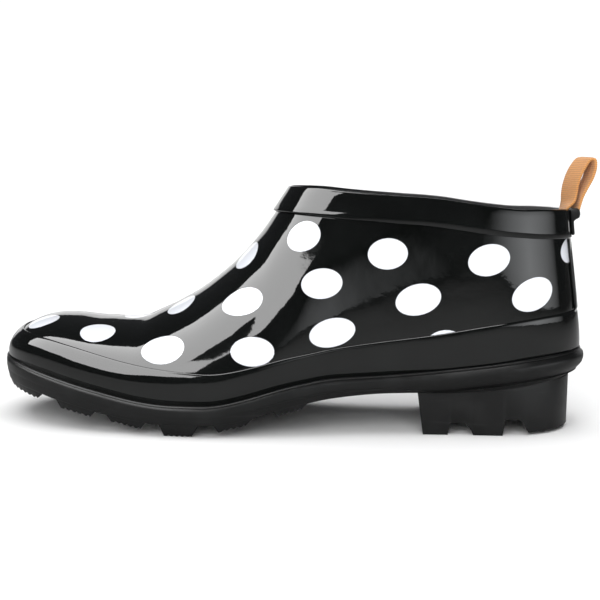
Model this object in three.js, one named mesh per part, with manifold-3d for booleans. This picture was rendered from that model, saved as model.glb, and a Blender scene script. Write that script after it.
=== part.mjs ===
// A low rubber ankle boot for the left foot, in millimetres.
// X runs from the toe to the heel, -Y is the outer side, +Z is up and the floor is at zero.
import * as THREE from "three";
import { mergeVertices } from "three/addons/utils/BufferGeometryUtils.js";
import Module from "manifold-3d";

// Overall sizes.
const LENGTH = 283;
const BALL_WIDTH = 102;
const HEEL_WIDTH = 72;
const COLLAR_HEIGHT = 113;
const COLLAR_TILT = 2.4;
const TOE_BOX = 26;

// Sole.
const SOLE_THICK = 10;
const LUG_DEPTH = 5.5;
const LUG_INSET = 3;
const LUG_DRAFT = 1;
const LUG_LEAN = 3;
const TOE_SPRING = 13;
const HEEL_HEIGHT = 20;
const RIM_HEIGHT = 6.5;
const RIM_ROUND = 0.8;
const RIM_STEP = 1.6;
const HEEL_INSET = 4.6;
const HEEL_SETBACK = 2.8;
const HEEL_STRIKE = 2.2;
const BREAST_AT = 0.718;
const BREAST_SLOPE = 6;

// Upper and what is laid on it.
const WALL = 2;
const INSOLE_THICK = 3;
const FOXING_HEIGHT = 16;
const FOXING_THICK = 1.5;
const BAND_HEIGHT = 12.8;
const BAND_THICK = 1.4;
const STAY_WIDTH = 21;
const STAY_THICK = 1.1;
const BACK_LEAN = 6.8;
const LEAN_START = 40;
const TUCK = 2.4;

// Pull loop and its keeper.
const LOOP_WIDTH = 11;
const LOOP_THICK = 1.6;
const LOOP_RISE = 25;
const LOOP_TURN = 33;
const TAB_WIDTH = 14;
const TAB_THICK = 1.5;
const TAB_GAP = 1;
const BLOCK_THICK = 4.6;
const BLOCK_HEIGHT = 5;

// Gap between pieces that meet.
const CLEAR = 0.3;

// The upper ends inside the sole's rim by the foxing and this lip, and by one more at the heel.
const RIM_LIP = 1;
const HEEL_LIP = 1;
const FORM_INSET = RIM_LIP + FOXING_THICK + CLEAR;

// Round ends of the outline and of the toe's top, as shares of the length.
const TOE_ROUND = 0.2;
const TOE_TOP_ROUND = 0.088;
const HEEL_ROUND = 0.14;
const ROUND_POWER = 2.15;
const TOE_TOP_POWER = 2;

// Steps of the lofts.
const STATIONS = 43;
const HALF_POINTS = 14;

// Outline of the sole: its centre line as a share of the ball width, and its half width as shares
// of half the ball width and half the heel width, at shares of the length from the toe.
const OUTLINE = [
  { along: 0.0, centre: 0.07, ball: 0.88, heel: 0 },
  { along: 0.1, centre: 0.052, ball: 0.885, heel: 0 },
  { along: 0.15, centre: 0.034, ball: 0.895, heel: 0 },
  { along: 0.2, centre: 0.02, ball: 0.918, heel: 0 },
  { along: 0.27, centre: 0.004, ball: 0.965, heel: 0 },
  { along: 0.33, centre: -0.008, ball: 0.988, heel: 0 },
  { along: 0.38, centre: -0.021, ball: 0.969, heel: 0 },
  { along: 0.45, centre: -0.034, ball: 0.865, heel: 0.04 },
  { along: 0.52, centre: -0.037, ball: 0.42, heel: 0.57 },
  { along: 0.6, centre: -0.029, ball: 0.1, heel: 0.91 },
  { along: 0.68, centre: -0.021, ball: 0, heel: 0.995 },
  { along: 0.76, centre: -0.012, ball: 0, heel: 0.978 },
  { along: 0.84, centre: -0.005, ball: 0, heel: 0.989 },
  { along: 0.92, centre: 0, ball: 0, heel: 0.989 },
  { along: 1.0, centre: 0, ball: 0, heel: 0.989 },
];

// Underside and thickness of the sole: toe spring, heel lift and thickness as shares of their sizes.
const SOLE = [
  { along: 0.0, spring: 1.0, lift: 0, thick: 1.14 },
  { along: 0.04, spring: 0.915, lift: 0, thick: 1.1 },
  { along: 0.08, spring: 0.79, lift: 0, thick: 1.04 },
  { along: 0.12, spring: 0.61, lift: 0, thick: 1.04 },
  { along: 0.18, spring: 0.345, lift: 0, thick: 1.03 },
  { along: 0.245, spring: 0.1, lift: 0, thick: 0.99 },
  { along: 0.295, spring: 0.01, lift: 0, thick: 0.94 },
  { along: 0.35, spring: 0, lift: 0, thick: 0.93 },
  { along: 0.39, spring: 0, lift: 0.014, thick: 0.95 },
  { along: 0.436, spring: 0, lift: 0.15, thick: 1.02 },
  { along: 0.497, spring: 0, lift: 0.49, thick: 1.02 },
  { along: 0.535, spring: 0, lift: 0.66, thick: 1.01 },
  { along: 0.574, spring: 0, lift: 0.81, thick: 0.98 },
  { along: 0.648, spring: 0, lift: 0.955, thick: 0.89 },
  { along: 0.708, spring: 0, lift: 0.99, thick: 0.96 },
  { along: 0.76, spring: 0, lift: 1.0, thick: 1.08 },
  { along: 0.83, spring: 0, lift: 1.085, thick: 1.21 },
  { along: 0.91, spring: 0, lift: 1.27, thick: 1.28 },
  { along: 0.972, spring: 0, lift: 1.37, thick: 1.32 },
  { along: 1.0, spring: 0, lift: 1.385, thick: 1.32 },
];

// Sections of the last: the ridge's rise over the sole as shares of the toe box and of the rest up
// to the collar, the ridge's place across as a share of the ball width, the height of the widest
// line as a share of the rise, and how square the arch is. Past the collar the rise is the form
// that the collar cuts.
const LAST = [
  { along: 0.0, toe: 0.74, shaft: 0, ridge: 0.07, belly: 0.32, square: 2.25 },
  { along: 0.06, toe: 0.81, shaft: 0, ridge: 0.066, belly: 0.32, square: 2.25 },
  { along: 0.118, toe: 0.935, shaft: 0, ridge: 0.06, belly: 0.3, square: 2.2 },
  { along: 0.168, toe: 1, shaft: 0.003, ridge: 0.056, belly: 0.28, square: 2.15 },
  { along: 0.24, toe: 1, shaft: 0.074, ridge: 0.05, belly: 0.26, square: 2.05 },
  { along: 0.275, toe: 1, shaft: 0.16, ridge: 0.048, belly: 0.24, square: 2.0 },
  { along: 0.311, toe: 1, shaft: 0.249, ridge: 0.046, belly: 0.22, square: 1.95 },
  { along: 0.346, toe: 1, shaft: 0.343, ridge: 0.044, belly: 0.2, square: 1.92 },
  { along: 0.381, toe: 1, shaft: 0.459, ridge: 0.042, belly: 0.18, square: 1.9 },
  { along: 0.416, toe: 1, shaft: 0.579, ridge: 0.038, belly: 0.165, square: 1.88 },
  { along: 0.451, toe: 1, shaft: 0.726, ridge: 0.032, belly: 0.15, square: 1.87 },
  { along: 0.472, toe: 1, shaft: 0.833, ridge: 0.027, belly: 0.145, square: 1.88 },
  { along: 0.497, toe: 1, shaft: 0.969, ridge: 0.022, belly: 0.14, square: 1.9 },
  { along: 0.526, toe: 1, shaft: 1.13, ridge: 0.016, belly: 0.14, square: 1.95 },
  { along: 0.561, toe: 1, shaft: 1.295, ridge: 0.01, belly: 0.14, square: 2.02 },
  { along: 0.611, toe: 1, shaft: 1.473, ridge: 0.004, belly: 0.14, square: 2.15 },
  { along: 0.671, toe: 1, shaft: 1.606, ridge: 0, belly: 0.14, square: 2.3 },
  { along: 0.76, toe: 1, shaft: 1.69, ridge: 0, belly: 0.145, square: 2.45 },
  { along: 0.86, toe: 1, shaft: 1.7, ridge: 0, belly: 0.15, square: 2.55 },
  { along: 1.0, toe: 1, shaft: 1.69, ridge: 0, belly: 0.15, square: 2.6 },
];

// Height of the foxing over the sole as a share of its size.
const FOXING = [
  { along: 0.0, high: 0.83 },
  { along: 0.03, high: 0.87 },
  { along: 0.09, high: 0.98 },
  { along: 0.145, high: 1.01 },
  { along: 0.22, high: 1.0 },
  { along: 0.29, high: 1.0 },
  { along: 0.37, high: 0.92 },
  { along: 0.43, high: 0.875 },
  { along: 0.5, high: 0.845 },
  { along: 0.565, high: 0.85 },
  { along: 0.647, high: 0.97 },
  { along: 0.747, high: 1.065 },
  { along: 0.836, high: 1.15 },
  { along: 0.936, high: 1.15 },
  { along: 1.0, high: 1.14 },
];

// Height of the collar's edge as a share of its front height, and of its band as a share of its size.
const COLLAR = [
  { along: 0.0, edge: 1.0, band: 0.93 },
  { along: 0.49, edge: 1.0, band: 0.93 },
  { along: 0.55, edge: 0.998, band: 0.99 },
  { along: 0.6, edge: 0.987, band: 0.99 },
  { along: 0.65, edge: 0.978, band: 0.97 },
  { along: 0.69, edge: 0.9725, band: 0.99 },
  { along: 0.74, edge: 0.966, band: 1.0 },
  { along: 0.78, edge: 0.957, band: 1.02 },
  { along: 0.82, edge: 0.943, band: 1.01 },
  { along: 0.86, edge: 0.931, band: 1.01 },
  { along: 0.9, edge: 0.9225, band: 1.01 },
  { along: 0.94, edge: 0.923, band: 1.07 },
  { along: 1.0, edge: 0.921, band: 1.07 },
];
const THROAT_AT = 0.497;

// Forepart lugs: where each starts and ends, and how deep it is there as a share of the lug depth.
// The ones under the ball are deep enough to end flat on the floor.
const LUGS = [
  { from: 0.006, to: 0.083, front: 0.42, back: 0.6 },
  { from: 0.122, to: 0.182, front: 0.68, back: 0.58 },
  { from: 0.212, to: 0.269, front: 0.52, back: 0.65 },
  { from: 0.302, to: 0.355, front: 1.15, back: 1.15 },
  { from: 0.392, to: 0.442, front: 0.62, back: 0.5 },
  { from: 0.487, to: 0.532, front: 0.42, back: 0.42 },
];

// Heel notches: where each starts and ends, and its height as a share of the heel height.
const NOTCHES = [
  { from: 0.776, to: 0.819, high: 0.29 },
  { from: 0.865, to: 0.909, high: 0.38 },
];
const NOTCH_DRAFT = 1.2;
const NOTCH_FLAT = 0.55;

// Centre line of the pull loop from inside the collar, over and down to its keeper: back from the
// collar's outer edge and up from it, as shares of the loop's rise, and how far it is turned.
const LOOP = [
  { back: -0.18, up: -0.36, turn: 0 },
  { back: -0.18, up: 0, turn: 0 },
  { back: -0.08, up: 0.09, turn: 0.1 },
  { back: 0.03, up: 0.15, turn: 0.45 },
  { back: 0.1, up: 0.39, turn: 1 },
  { back: 0.18, up: 0.65, turn: 1 },
  { back: 0.32, up: 0.86, turn: 1 },
  { back: 0.46, up: 0.93, turn: 1 },
  { back: 0.5, up: 0.82, turn: 1 },
  { back: 0.43, up: 0.62, turn: 1 },
  { back: 0.29, up: 0.32, turn: 0.9 },
  { back: 0.2, up: 0.11, turn: 0.5 },
  { back: 0.175, up: 0.035, turn: 0.3 },
];
const LOOP_STEPS = 30;

const COLOURS = {
  gloss: { color: 0x0b0c0b, roughness: 0.12, metalness: 0 },
  matte: { color: 0x181818, roughness: 0.6, metalness: 0 },
  webbing: { color: 0xc88a45, roughness: 0.85, metalness: 0 },
  footbed: { color: 0x1d1d1d, roughness: 0.9, metalness: 0 },
};

const wasm = await Module();
wasm.setup();

// A smooth curve through one column of a table.
function column(rows, key) {
  const slope = rows.map((row, i) => {
    const before = rows[Math.max(i - 1, 0)];
    const after = rows[Math.min(i + 1, rows.length - 1)];
    return (after[key] - before[key]) / (after.along - before.along);
  });
  return (along) => {
    const a = Math.min(Math.max(along, rows[0].along), rows.at(-1).along);
    const i = Math.max(rows.findIndex((row) => row.along >= a) - 1, 0);
    const step = rows[i + 1].along - rows[i].along;
    const t = (a - rows[i].along) / step;
    const start = rows[i][key] * (1 + 2 * t) + slope[i] * step * t;
    const end = rows[i + 1][key] * (3 - 2 * t) - slope[i + 1] * step * (1 - t);
    return start * (1 - t) ** 2 + end * t ** 2;
  };
}

const outline = { centre: column(OUTLINE, "centre"), ball: column(OUTLINE, "ball"), heel: column(OUTLINE, "heel") };
const sole = { spring: column(SOLE, "spring"), lift: column(SOLE, "lift"), thick: column(SOLE, "thick") };
const last = {
  toe: column(LAST, "toe"),
  shaft: column(LAST, "shaft"),
  ridge: column(LAST, "ridge"),
  belly: column(LAST, "belly"),
  square: column(LAST, "square"),
};
const foxingHigh = column(FOXING, "high");
const collar = { edge: column(COLLAR, "edge"), band: column(COLLAR, "band") };

const xAt = (along) => (along - 0.5) * LENGTH;
const alongAt = (x) => x / LENGTH + 0.5;
const smooth = (t) => {
  const u = Math.min(Math.max(t, 0), 1);
  return u * u * (3 - 2 * u);
};

// From zero at an end to one at the given share, as a round end is.
const roundEnd = (share, span, power = ROUND_POWER) => {
  const t = Math.min(Math.max(share / span, 0), 1);
  return (1 - (1 - t) ** power) ** (1 / power);
};

// Heights along the shoe.
const soleUnder = (a) => LUG_DEPTH + sole.spring(a) * TOE_SPRING + sole.lift(a) * (HEEL_HEIGHT - LUG_DEPTH);
const soleTop = (a) => soleUnder(a) + sole.thick(a) * SOLE_THICK;
const foxingTop = (a) => soleTop(a) + foxingHigh(a) * FOXING_HEIGHT;
const collarTop = (a) => collar.edge(a) * COLLAR_HEIGHT;
const bandLow = (a) => collarTop(a) - collar.band(a) * BAND_HEIGHT;
const SHAFT_RISE = COLLAR_HEIGHT - soleTop(THROAT_AT) - TOE_BOX;

// How far the back of the boot leans forward at a height.
const leanAt = (z) => BACK_LEAN * smooth((z - LEAN_START) / (COLLAR_HEIGHT - LEAN_START));

// Half width of the sole before its round ends.
const halfWidth = (a) => (outline.ball(a) * BALL_WIDTH + outline.heel(a) * HEEL_WIDTH) / 2;

// Half of one section of the last, from the sole's edge up to the ridge, as points in Y and Z.
function halfSection(a, side, ends) {
  const base = soleTop(a) + CLEAR;
  const centre = outline.centre(a) * BALL_WIDTH;
  const width = (halfWidth(a) - FORM_INSET) * ends.plan;
  const edge = centre + side * width;
  const ridge = centre + (last.ridge(a) * BALL_WIDTH - centre) * ends.plan;
  const rise = (last.toe(a) * TOE_BOX + last.shaft(a) * SHAFT_RISE) * ends.top;
  const belly = base + last.belly(a) * rise;
  const power = 2 / last.square(a);
  const fine = [];
  for (let k = 0; k < 8; k++) {
    const t = k / 8;
    fine.push(new THREE.Vector2(edge - side * TUCK * ends.plan * ends.top * (1 - t) ** 2, base + (belly - base) * t));
  }
  for (let k = 0; k <= 40; k++) {
    const t = (k / 40) * (Math.PI / 2);
    const across = Math.max(Math.cos(t), 0) ** power;
    const up = Math.sin(t) ** power;
    fine.push(new THREE.Vector2(ridge + (edge - ridge) * across, belly + (base + rise - belly) * up));
  }
  return resample(fine, HALF_POINTS);
}

// The same line with its points spaced evenly.
function resample(points, count) {
  const runs = [0];
  for (let k = 1; k < points.length; k++) {
    runs.push(runs[k - 1] + points[k].distanceTo(points[k - 1]));
  }
  const total = runs.at(-1);
  return Array.from({ length: count }, (_, n) => {
    if (n === count - 1) return points.at(-1).clone();
    const run = (total * n) / (count - 1);
    const k = Math.max(runs.findIndex((r) => r >= run), 1);
    const step = runs[k] - runs[k - 1];
    return points[k - 1].clone().lerp(points[k], step > 0 ? (run - runs[k - 1]) / step : 0);
  });
}

// Shares of the length for the stations, closer together at both ends.
function stationShares(first, final, count) {
  return Array.from({ length: count + 1 }, (_, i) => {
    const u = i / count;
    return first + (final - first) * (0.25 * u + 0.375 * (1 - Math.cos(Math.PI * u)));
  });
}

// Rings of the last's outer surface, from the toe to the back.
function formRings() {
  const first = FORM_INSET / LENGTH;
  const final = 1 - first - HEEL_LIP / LENGTH;
  return stationShares(first, final, STATIONS).map((a) => {
    const ends = {
      plan: Math.min(roundEnd(a - first, TOE_ROUND), roundEnd(final - a, HEEL_ROUND)),
      top: roundEnd(a - first, TOE_TOP_ROUND, TOE_TOP_POWER),
    };
    const outer = halfSection(a, -1, ends);
    const inner = halfSection(a, 1, ends);
    const backward = smooth((a - THROAT_AT) / (1 - THROAT_AT));
    return [...outer, ...inner.slice(0, -1).reverse()].map(
      (p) => new THREE.Vector3(xAt(a) - leanAt(p.y) * backward, p.x, p.y),
    );
  });
}
const RINGS = formRings();

// The direction straight out of the surface at one point of the rings.
function outward(i, j) {
  if (i === 0) return new THREE.Vector3(-1, 0, 0);
  if (i === RINGS.length - 1) return new THREE.Vector3(1, 0, 0);
  const ring = RINGS[i];
  const along = RINGS[i + 1][j].clone().sub(RINGS[i - 1][j]);
  const round = ring[Math.min(j + 1, ring.length - 1)].clone().sub(ring[Math.max(j - 1, 0)]);
  const out = along.cross(round);
  if (j === 0 || j === ring.length - 1) out.z = 0;
  return out.normalize();
}

// A closed solid from rings of equal length, each joined to the next, with flat or pointed ends.
function loft(rings) {
  const n = rings[0].length;
  const faces = [];
  for (let i = 0; i + 1 < rings.length; i++) {
    for (let j = 0; j < n; j++) {
      const k = (j + 1) % n;
      faces.push(rings[i][j], rings[i + 1][j], rings[i + 1][k]);
      faces.push(rings[i][j], rings[i + 1][k], rings[i][k]);
    }
  }
  for (let j = 1; j + 1 < n; j++) {
    faces.push(rings[0][0], rings[0][j], rings[0][j + 1]);
    faces.push(rings.at(-1)[0], rings.at(-1)[j + 1], rings.at(-1)[j]);
  }
  return solid(new THREE.BufferGeometry().setFromPoints(faces));
}

// A manifold solid of a closed geometry, without the faces that a pointed end leaves flat.
function solid(geometry) {
  const bare = new THREE.BufferGeometry();
  const loose = geometry.index ? geometry.toNonIndexed() : geometry;
  bare.setAttribute("position", loose.getAttribute("position"));
  const merged = mergeVertices(bare, 1e-3);
  const index = merged.index.array;
  const kept = [];
  for (let i = 0; i < index.length; i += 3) {
    const [a, b, c] = [index[i], index[i + 1], index[i + 2]];
    if (a !== b && b !== c && c !== a) kept.push(a, b, c);
  }
  return new wasm.Manifold(
    new wasm.Mesh({
      numProp: 3,
      vertProperties: merged.attributes.position.array,
      triVerts: new Uint32Array(kept),
    }),
  );
}

// The last's form moved out by a distance, its underside lowered by a drop.
function form(out, drop = 0) {
  const rings = RINGS.map((ring, i) =>
    ring.map((p, j) => {
      const moved = p.clone().addScaledVector(outward(i, j), out);
      if (j === 0 || j === ring.length - 1) moved.z = p.z - drop;
      return moved;
    }),
  );
  return loft(rings);
}

// Everything under a height that changes along the shoe, down to a depth. With a slope the height
// is also raised towards the outer side.
const REACH = { side: 90, end: 40, deep: 60, steps: 72 };
const COLLAR_SLOPE = COLLAR_TILT / HEEL_WIDTH;
function under(height, slope = 0) {
  const profile = [new THREE.Vector2(xAt(0) - REACH.end, -REACH.deep)];
  profile.push(new THREE.Vector2(xAt(1) + REACH.end, -REACH.deep));
  for (let i = REACH.steps; i >= 0; i--) {
    const x = xAt(0) - REACH.end + ((LENGTH + 2 * REACH.end) * i) / REACH.steps;
    profile.push(new THREE.Vector2(x, height(alongAt(x))));
  }
  return across(profile, REACH.side, slope);
}

// A side profile in X and Z, pushed across the shoe to both sides and sloped if asked.
function across(profile, side, slope = 0) {
  const geometry = new THREE.ExtrudeGeometry(new THREE.Shape(profile), { depth: 2 * side, bevelEnabled: false });
  geometry.rotateX(Math.PI / 2);
  geometry.translate(0, side, 0);
  geometry.applyMatrix4(new THREE.Matrix4().makeShear(0, 0, 0, -slope, 0, 0));
  return solid(geometry);
}

function block(x, y, z, wide, deep, high) {
  return solid(new THREE.BoxGeometry(wide, deep, high).translate(x, y, z));
}

// A closed plan outline of the sole moved in by an inset that may change along it, as pairs of
// outer and inner points. The heel can be set further forward by a setback.
function planPairs(inset, back = 0) {
  const shares = stationShares(0, 1, STATIONS);
  const edge = (a, side) => {
    const round = Math.min(roundEnd(a, TOE_ROUND), roundEnd(1 - a, HEEL_ROUND));
    return new THREE.Vector2(xAt(a), outline.centre(a) * BALL_WIDTH + side * halfWidth(a) * round);
  };
  return shares.map((a, i) =>
    [-1, 1].map((side) => {
      const here = edge(a, side);
      if (i === 0) return new THREE.Vector2(here.x + inset(a), here.y);
      if (i === shares.length - 1) return new THREE.Vector2(here.x - inset(a) - back, here.y);
      const run = edge(shares[i + 1], side).sub(edge(shares[i - 1], side)).normalize();
      const moved = here.add(new THREE.Vector2(run.y, -run.x).multiplyScalar(side * inset(a)));
      moved.x -= back * smooth((a - BREAST_AT) / (1 - BREAST_AT));
      return moved;
    }),
  );
}

// A slab between outlines that are stacked from the top down, each with its inset and height.
function stack(levels) {
  const pairs = levels.map((level) => planPairs(level.inset, level.back));
  const rings = pairs[0].map((_, i) => {
    const side = (k, s) => {
      const p = pairs[k][i][s];
      return new THREE.Vector3(p.x, p.y, levels[k].height(alongAt(p.x)));
    };
    const outer = levels.map((_, k) => side(k, 0)).reverse();
    const inner = levels.map((_, k) => side(k, 1));
    return [...outer, ...inner];
  });
  return loft(rings);
}

// Upper: the shell, open at the collar and underneath.
function makeUpper() {
  return form(0).subtract(form(-WALL, 8)).intersect(under(collarTop, COLLAR_SLOPE));
}

// The band round the collar, cut between two larger forms.
function makeBand() {
  const skin = form(CLEAR + BAND_THICK).subtract(form(CLEAR, 8));
  return skin.intersect(under(collarTop, COLLAR_SLOPE)).subtract(under(bandLow, COLLAR_SLOPE));
}

// The rand round the foot, down to the sole.
function makeFoxing() {
  return form(CLEAR + FOXING_THICK).subtract(form(CLEAR, 8)).intersect(under(foxingTop));
}

// The strip up the back, between rand and band.
function makeStay() {
  const skin = form(CLEAR + STAY_THICK).subtract(form(CLEAR, 8));
  const strip = skin.intersect(block(xAt(1), 0, COLLAR_HEIGHT / 2, HEEL_WIDTH, STAY_WIDTH, 2 * COLLAR_HEIGHT));
  const below = under((a) => bandLow(a) - CLEAR, COLLAR_SLOPE);
  return strip.intersect(below).subtract(under((a) => foxingTop(a) + CLEAR));
}

function makeInsole() {
  return form(-WALL - 2 * CLEAR).intersect(under((a) => soleTop(a) + CLEAR + INSOLE_THICK));
}

// How far the sole's side draws in under its rim: little round the forepart, and all of it from
// the waist back.
const waist = (a) => 0.2 + 0.8 * smooth((a - 0.36) / 0.2);
const sideInset = (a) => LUG_INSET * (0.4 + 0.6 * smooth((a - 0.36) / 0.2));

// Outsole: a rim with a step under it, the heel seat drawn in, and the forepart's lugs.
function makeOutsole() {
  const draw = (a) => smooth((a - BREAST_AT + 0.06) / 0.12);
  const stepLow = (a) => soleTop(a) - RIM_HEIGHT * (1.02 + 0.55 * draw(a));
  const body = stack([
    { inset: () => RIM_ROUND, height: soleTop },
    { inset: () => 0, height: (a) => soleTop(a) - RIM_HEIGHT * 0.3 },
    { inset: () => 0, height: (a) => soleTop(a) - RIM_HEIGHT * (0.9 + 0.08 * draw(a)) },
    { inset: (a) => RIM_STEP * waist(a), back: HEEL_SETBACK * 0.6, height: stepLow },
    { inset: sideInset, back: HEEL_SETBACK + 1.6, height: soleUnder },
  ]);
  return LUGS.reduce((whole, lug) => whole.add(makeLug(lug)), body);
}

function makeLug(lug) {
  const low = (at, share) => Math.max(soleUnder(at) - share * LUG_DEPTH, 0);
  const profile = [
    new THREE.Vector2(xAt(lug.from), soleUnder(lug.from) + 1),
    new THREE.Vector2(xAt(lug.from) + LUG_DRAFT, low(lug.from, lug.front)),
    new THREE.Vector2(xAt(lug.to) - LUG_DRAFT, low(lug.to, lug.back)),
    new THREE.Vector2(xAt(lug.to), soleUnder(lug.to) + 1),
  ];
  const plan = stack([
    { inset: sideInset, height: (a) => soleUnder(a) + 1 },
    { inset: (a) => sideInset(a) + LUG_LEAN, height: (a) => soleUnder(a) - LUG_DEPTH - 1 },
  ]);
  return across(profile, REACH.side).intersect(plan);
}

// Heel: the outline drawn in, a sloping breast and notches across the ground face.
function makeHeel() {
  const plan = stack([
    { inset: () => HEEL_INSET - 0.6, back: HEEL_SETBACK, height: () => 2 * HEEL_HEIGHT },
    { inset: () => HEEL_INSET, back: HEEL_SETBACK, height: () => -HEEL_HEIGHT },
  ]);
  const top = (a) => soleUnder(a) - CLEAR;
  const profile = [new THREE.Vector2(xAt(BREAST_AT), top(BREAST_AT))];
  profile.push(new THREE.Vector2(xAt(BREAST_AT) + BREAST_SLOPE, 0));
  for (const notch of NOTCHES) {
    const high = notch.high * HEEL_HEIGHT;
    const x = xAt(notch.from);
    const wide = xAt(notch.to) - x;
    profile.push(new THREE.Vector2(x, 0));
    profile.push(new THREE.Vector2(x + NOTCH_DRAFT, high));
    profile.push(new THREE.Vector2(x + wide * NOTCH_FLAT, high));
    profile.push(new THREE.Vector2(x + wide * (NOTCH_FLAT + 1) / 2, high * 0.72));
    profile.push(new THREE.Vector2(x + wide, 0));
  }
  profile.at(-1).y = HEEL_STRIKE / 2;
  profile.push(new THREE.Vector2(xAt(1), HEEL_STRIKE));
  for (let i = 0; i <= 12; i++) {
    const a = 1 - ((1 - BREAST_AT) * i) / 12;
    if (i < 12) profile.push(new THREE.Vector2(xAt(a), top(a)));
  }
  return across(profile, REACH.side).intersect(plan);
}

// Keeper of the pull loop: a thin stem on the band and a thick block at its top.
function makeTab() {
  const seat = 2 * CLEAR + BAND_THICK;
  const narrow = block(xAt(1), 0, COLLAR_HEIGHT / 2, HEEL_WIDTH, TAB_WIDTH, 2 * COLLAR_HEIGHT);
  const stem = form(seat + TAB_THICK).subtract(form(seat, 8));
  const thick = form(seat + BLOCK_THICK).subtract(form(seat, 8));
  const top = under(collarTop, COLLAR_SLOPE);
  const low = thick.intersect(top).subtract(under((a) => collarTop(a) - BLOCK_HEIGHT, COLLAR_SLOPE));
  const tall = stem.intersect(top).subtract(under((a) => bandLow(a) + TAB_GAP, COLLAR_SLOPE));
  return tall.add(low).intersect(narrow);
}

// Pull loop: a flat strap along its centre line, turned about the upright as it rises.
function makeLoop() {
  const edge = new THREE.Vector2(RINGS.at(-1)[0].x - leanAt(collarTop(1)), collarTop(1));
  const points = LOOP.map((p) => new THREE.Vector3(edge.x + p.back * LOOP_RISE, p.turn, edge.y + p.up * LOOP_RISE));
  const path = new THREE.CatmullRomCurve3(points, false, "centripetal");
  const rings = [];
  for (let i = 0; i <= LOOP_STEPS; i++) {
    const here = path.getPointAt(i / LOOP_STEPS);
    const run = path.getTangentAt(i / LOOP_STEPS).setY(0).normalize();
    const turn = THREE.MathUtils.degToRad(here.y * LOOP_TURN);
    const wide = new THREE.Vector3(-Math.sin(turn), Math.cos(turn), 0);
    const thick = new THREE.Vector3().crossVectors(wide, run).normalize();
    const corner = (w, t) =>
      new THREE.Vector3(here.x, 0, here.z)
        .addScaledVector(wide, (w * LOOP_WIDTH) / 2)
        .addScaledVector(thick, (t * LOOP_THICK) / 2);
    rings.push([corner(-1, -1), corner(1, -1), corner(1, 1), corner(-1, 1)]);
  }
  return loft(rings);
}

function mesh(name, finish, made) {
  const { vertProperties, triVerts } = made.getMesh();
  const geometry = new THREE.BufferGeometry();
  geometry.setAttribute("position", new THREE.BufferAttribute(vertProperties, 3));
  geometry.setIndex(new THREE.BufferAttribute(triVerts, 1));
  geometry.computeVertexNormals();
  const piece = new THREE.Mesh(geometry, new THREE.MeshStandardMaterial(COLOURS[finish]));
  piece.name = name;
  return piece;
}

const boot = new THREE.Group();
boot.add(mesh("upper", "gloss", makeUpper()));
boot.add(mesh("collar_band", "gloss", makeBand()));
boot.add(mesh("foxing", "gloss", makeFoxing()));
boot.add(mesh("back_stay", "gloss", makeStay()));
boot.add(mesh("loop_tab", "matte", makeTab()));
boot.add(mesh("pull_loop", "webbing", makeLoop()));
boot.add(mesh("outsole", "matte", makeOutsole()));
boot.add(mesh("heel", "matte", makeHeel()));
boot.add(mesh("insole", "footbed", makeInsole()));

// The origin is under the middle of the boot, on the floor.
const middle = new THREE.Box3().setFromObject(boot).getCenter(new THREE.Vector3());
boot.position.set(-middle.x, -middle.y, 0);

export default new THREE.Group().add(boot);
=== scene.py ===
"""A low glossy rubber ankle boot with white dots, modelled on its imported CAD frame."""

import math
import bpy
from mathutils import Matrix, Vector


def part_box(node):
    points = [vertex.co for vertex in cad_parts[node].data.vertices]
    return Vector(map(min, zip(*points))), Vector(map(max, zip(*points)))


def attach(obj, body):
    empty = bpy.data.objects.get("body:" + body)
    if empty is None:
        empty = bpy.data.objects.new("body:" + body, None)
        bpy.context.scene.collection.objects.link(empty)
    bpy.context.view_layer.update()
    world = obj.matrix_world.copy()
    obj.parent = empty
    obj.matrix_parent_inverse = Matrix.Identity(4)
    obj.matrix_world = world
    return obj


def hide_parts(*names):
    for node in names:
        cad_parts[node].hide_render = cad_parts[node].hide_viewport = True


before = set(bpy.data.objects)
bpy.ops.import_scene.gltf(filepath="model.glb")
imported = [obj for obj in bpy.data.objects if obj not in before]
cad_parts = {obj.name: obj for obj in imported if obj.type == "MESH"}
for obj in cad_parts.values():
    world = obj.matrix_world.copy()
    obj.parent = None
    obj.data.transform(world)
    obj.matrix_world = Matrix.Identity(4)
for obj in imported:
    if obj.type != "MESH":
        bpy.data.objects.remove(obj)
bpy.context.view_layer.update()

from types import SimpleNamespace

import bmesh
import bpy
import numpy as np
from bpy.props import FloatProperty, FloatVectorProperty, PointerProperty
from mathutils import Matrix, Vector

bl_info = {
    "name": "Dotted rubber ankle boot",
    "version": (1, 0, 0),
    "blender": (4, 5, 0),
    "location": "3D View > Sidebar > Boot",
    "description": "Builds a low rubber ankle boot for the left foot, piece by piece",
    "category": "Object",
}

BODY = "root"

# Sizes of the last and of the pieces on it, in metres. The heel's breast and notches and the pull
# loop follow the photo more closely than the CAD model does, and the rest is the same.
LENGTH = 0.283
BALL_WIDTH = 0.102
HEEL_WIDTH = 0.072
COLLAR_HEIGHT = 0.113
COLLAR_SLOPE = 2.4 / 72
TOE_BOX = 0.026
SOLE_THICK = 0.010
LUG_DEPTH = 0.0055
LUG_INSET = 0.003
LUG_LEAN = 0.003
LUG_DRAFT = 0.001
TOE_SPRING = 0.013
HEEL_HEIGHT = 0.020
RIM_HEIGHT = 0.0065
RIM_STEP = 0.0016
HEEL_INSET = 0.0046
HEEL_SETBACK = 0.0028
HEEL_STRIKE = 0.0022
BREAST_AT = 0.718
BREAST_SLOPE = 0.0028
FOXING_HEIGHT = 0.016
BAND_HEIGHT = 0.0128
STAY_WIDTH = 0.021
INSOLE_THICK = 0.003
BACK_LEAN = 0.0068
LEAN_START = 0.040
TUCK = 0.0024
CLEAR = 0.0003
FORM_INSET = 0.0028
HEEL_LIP = 0.001
TOE_ROUND = 0.2
TOE_TOP_ROUND = 0.088
HEEL_ROUND = 0.14
THROAT_AT = 0.497
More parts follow.
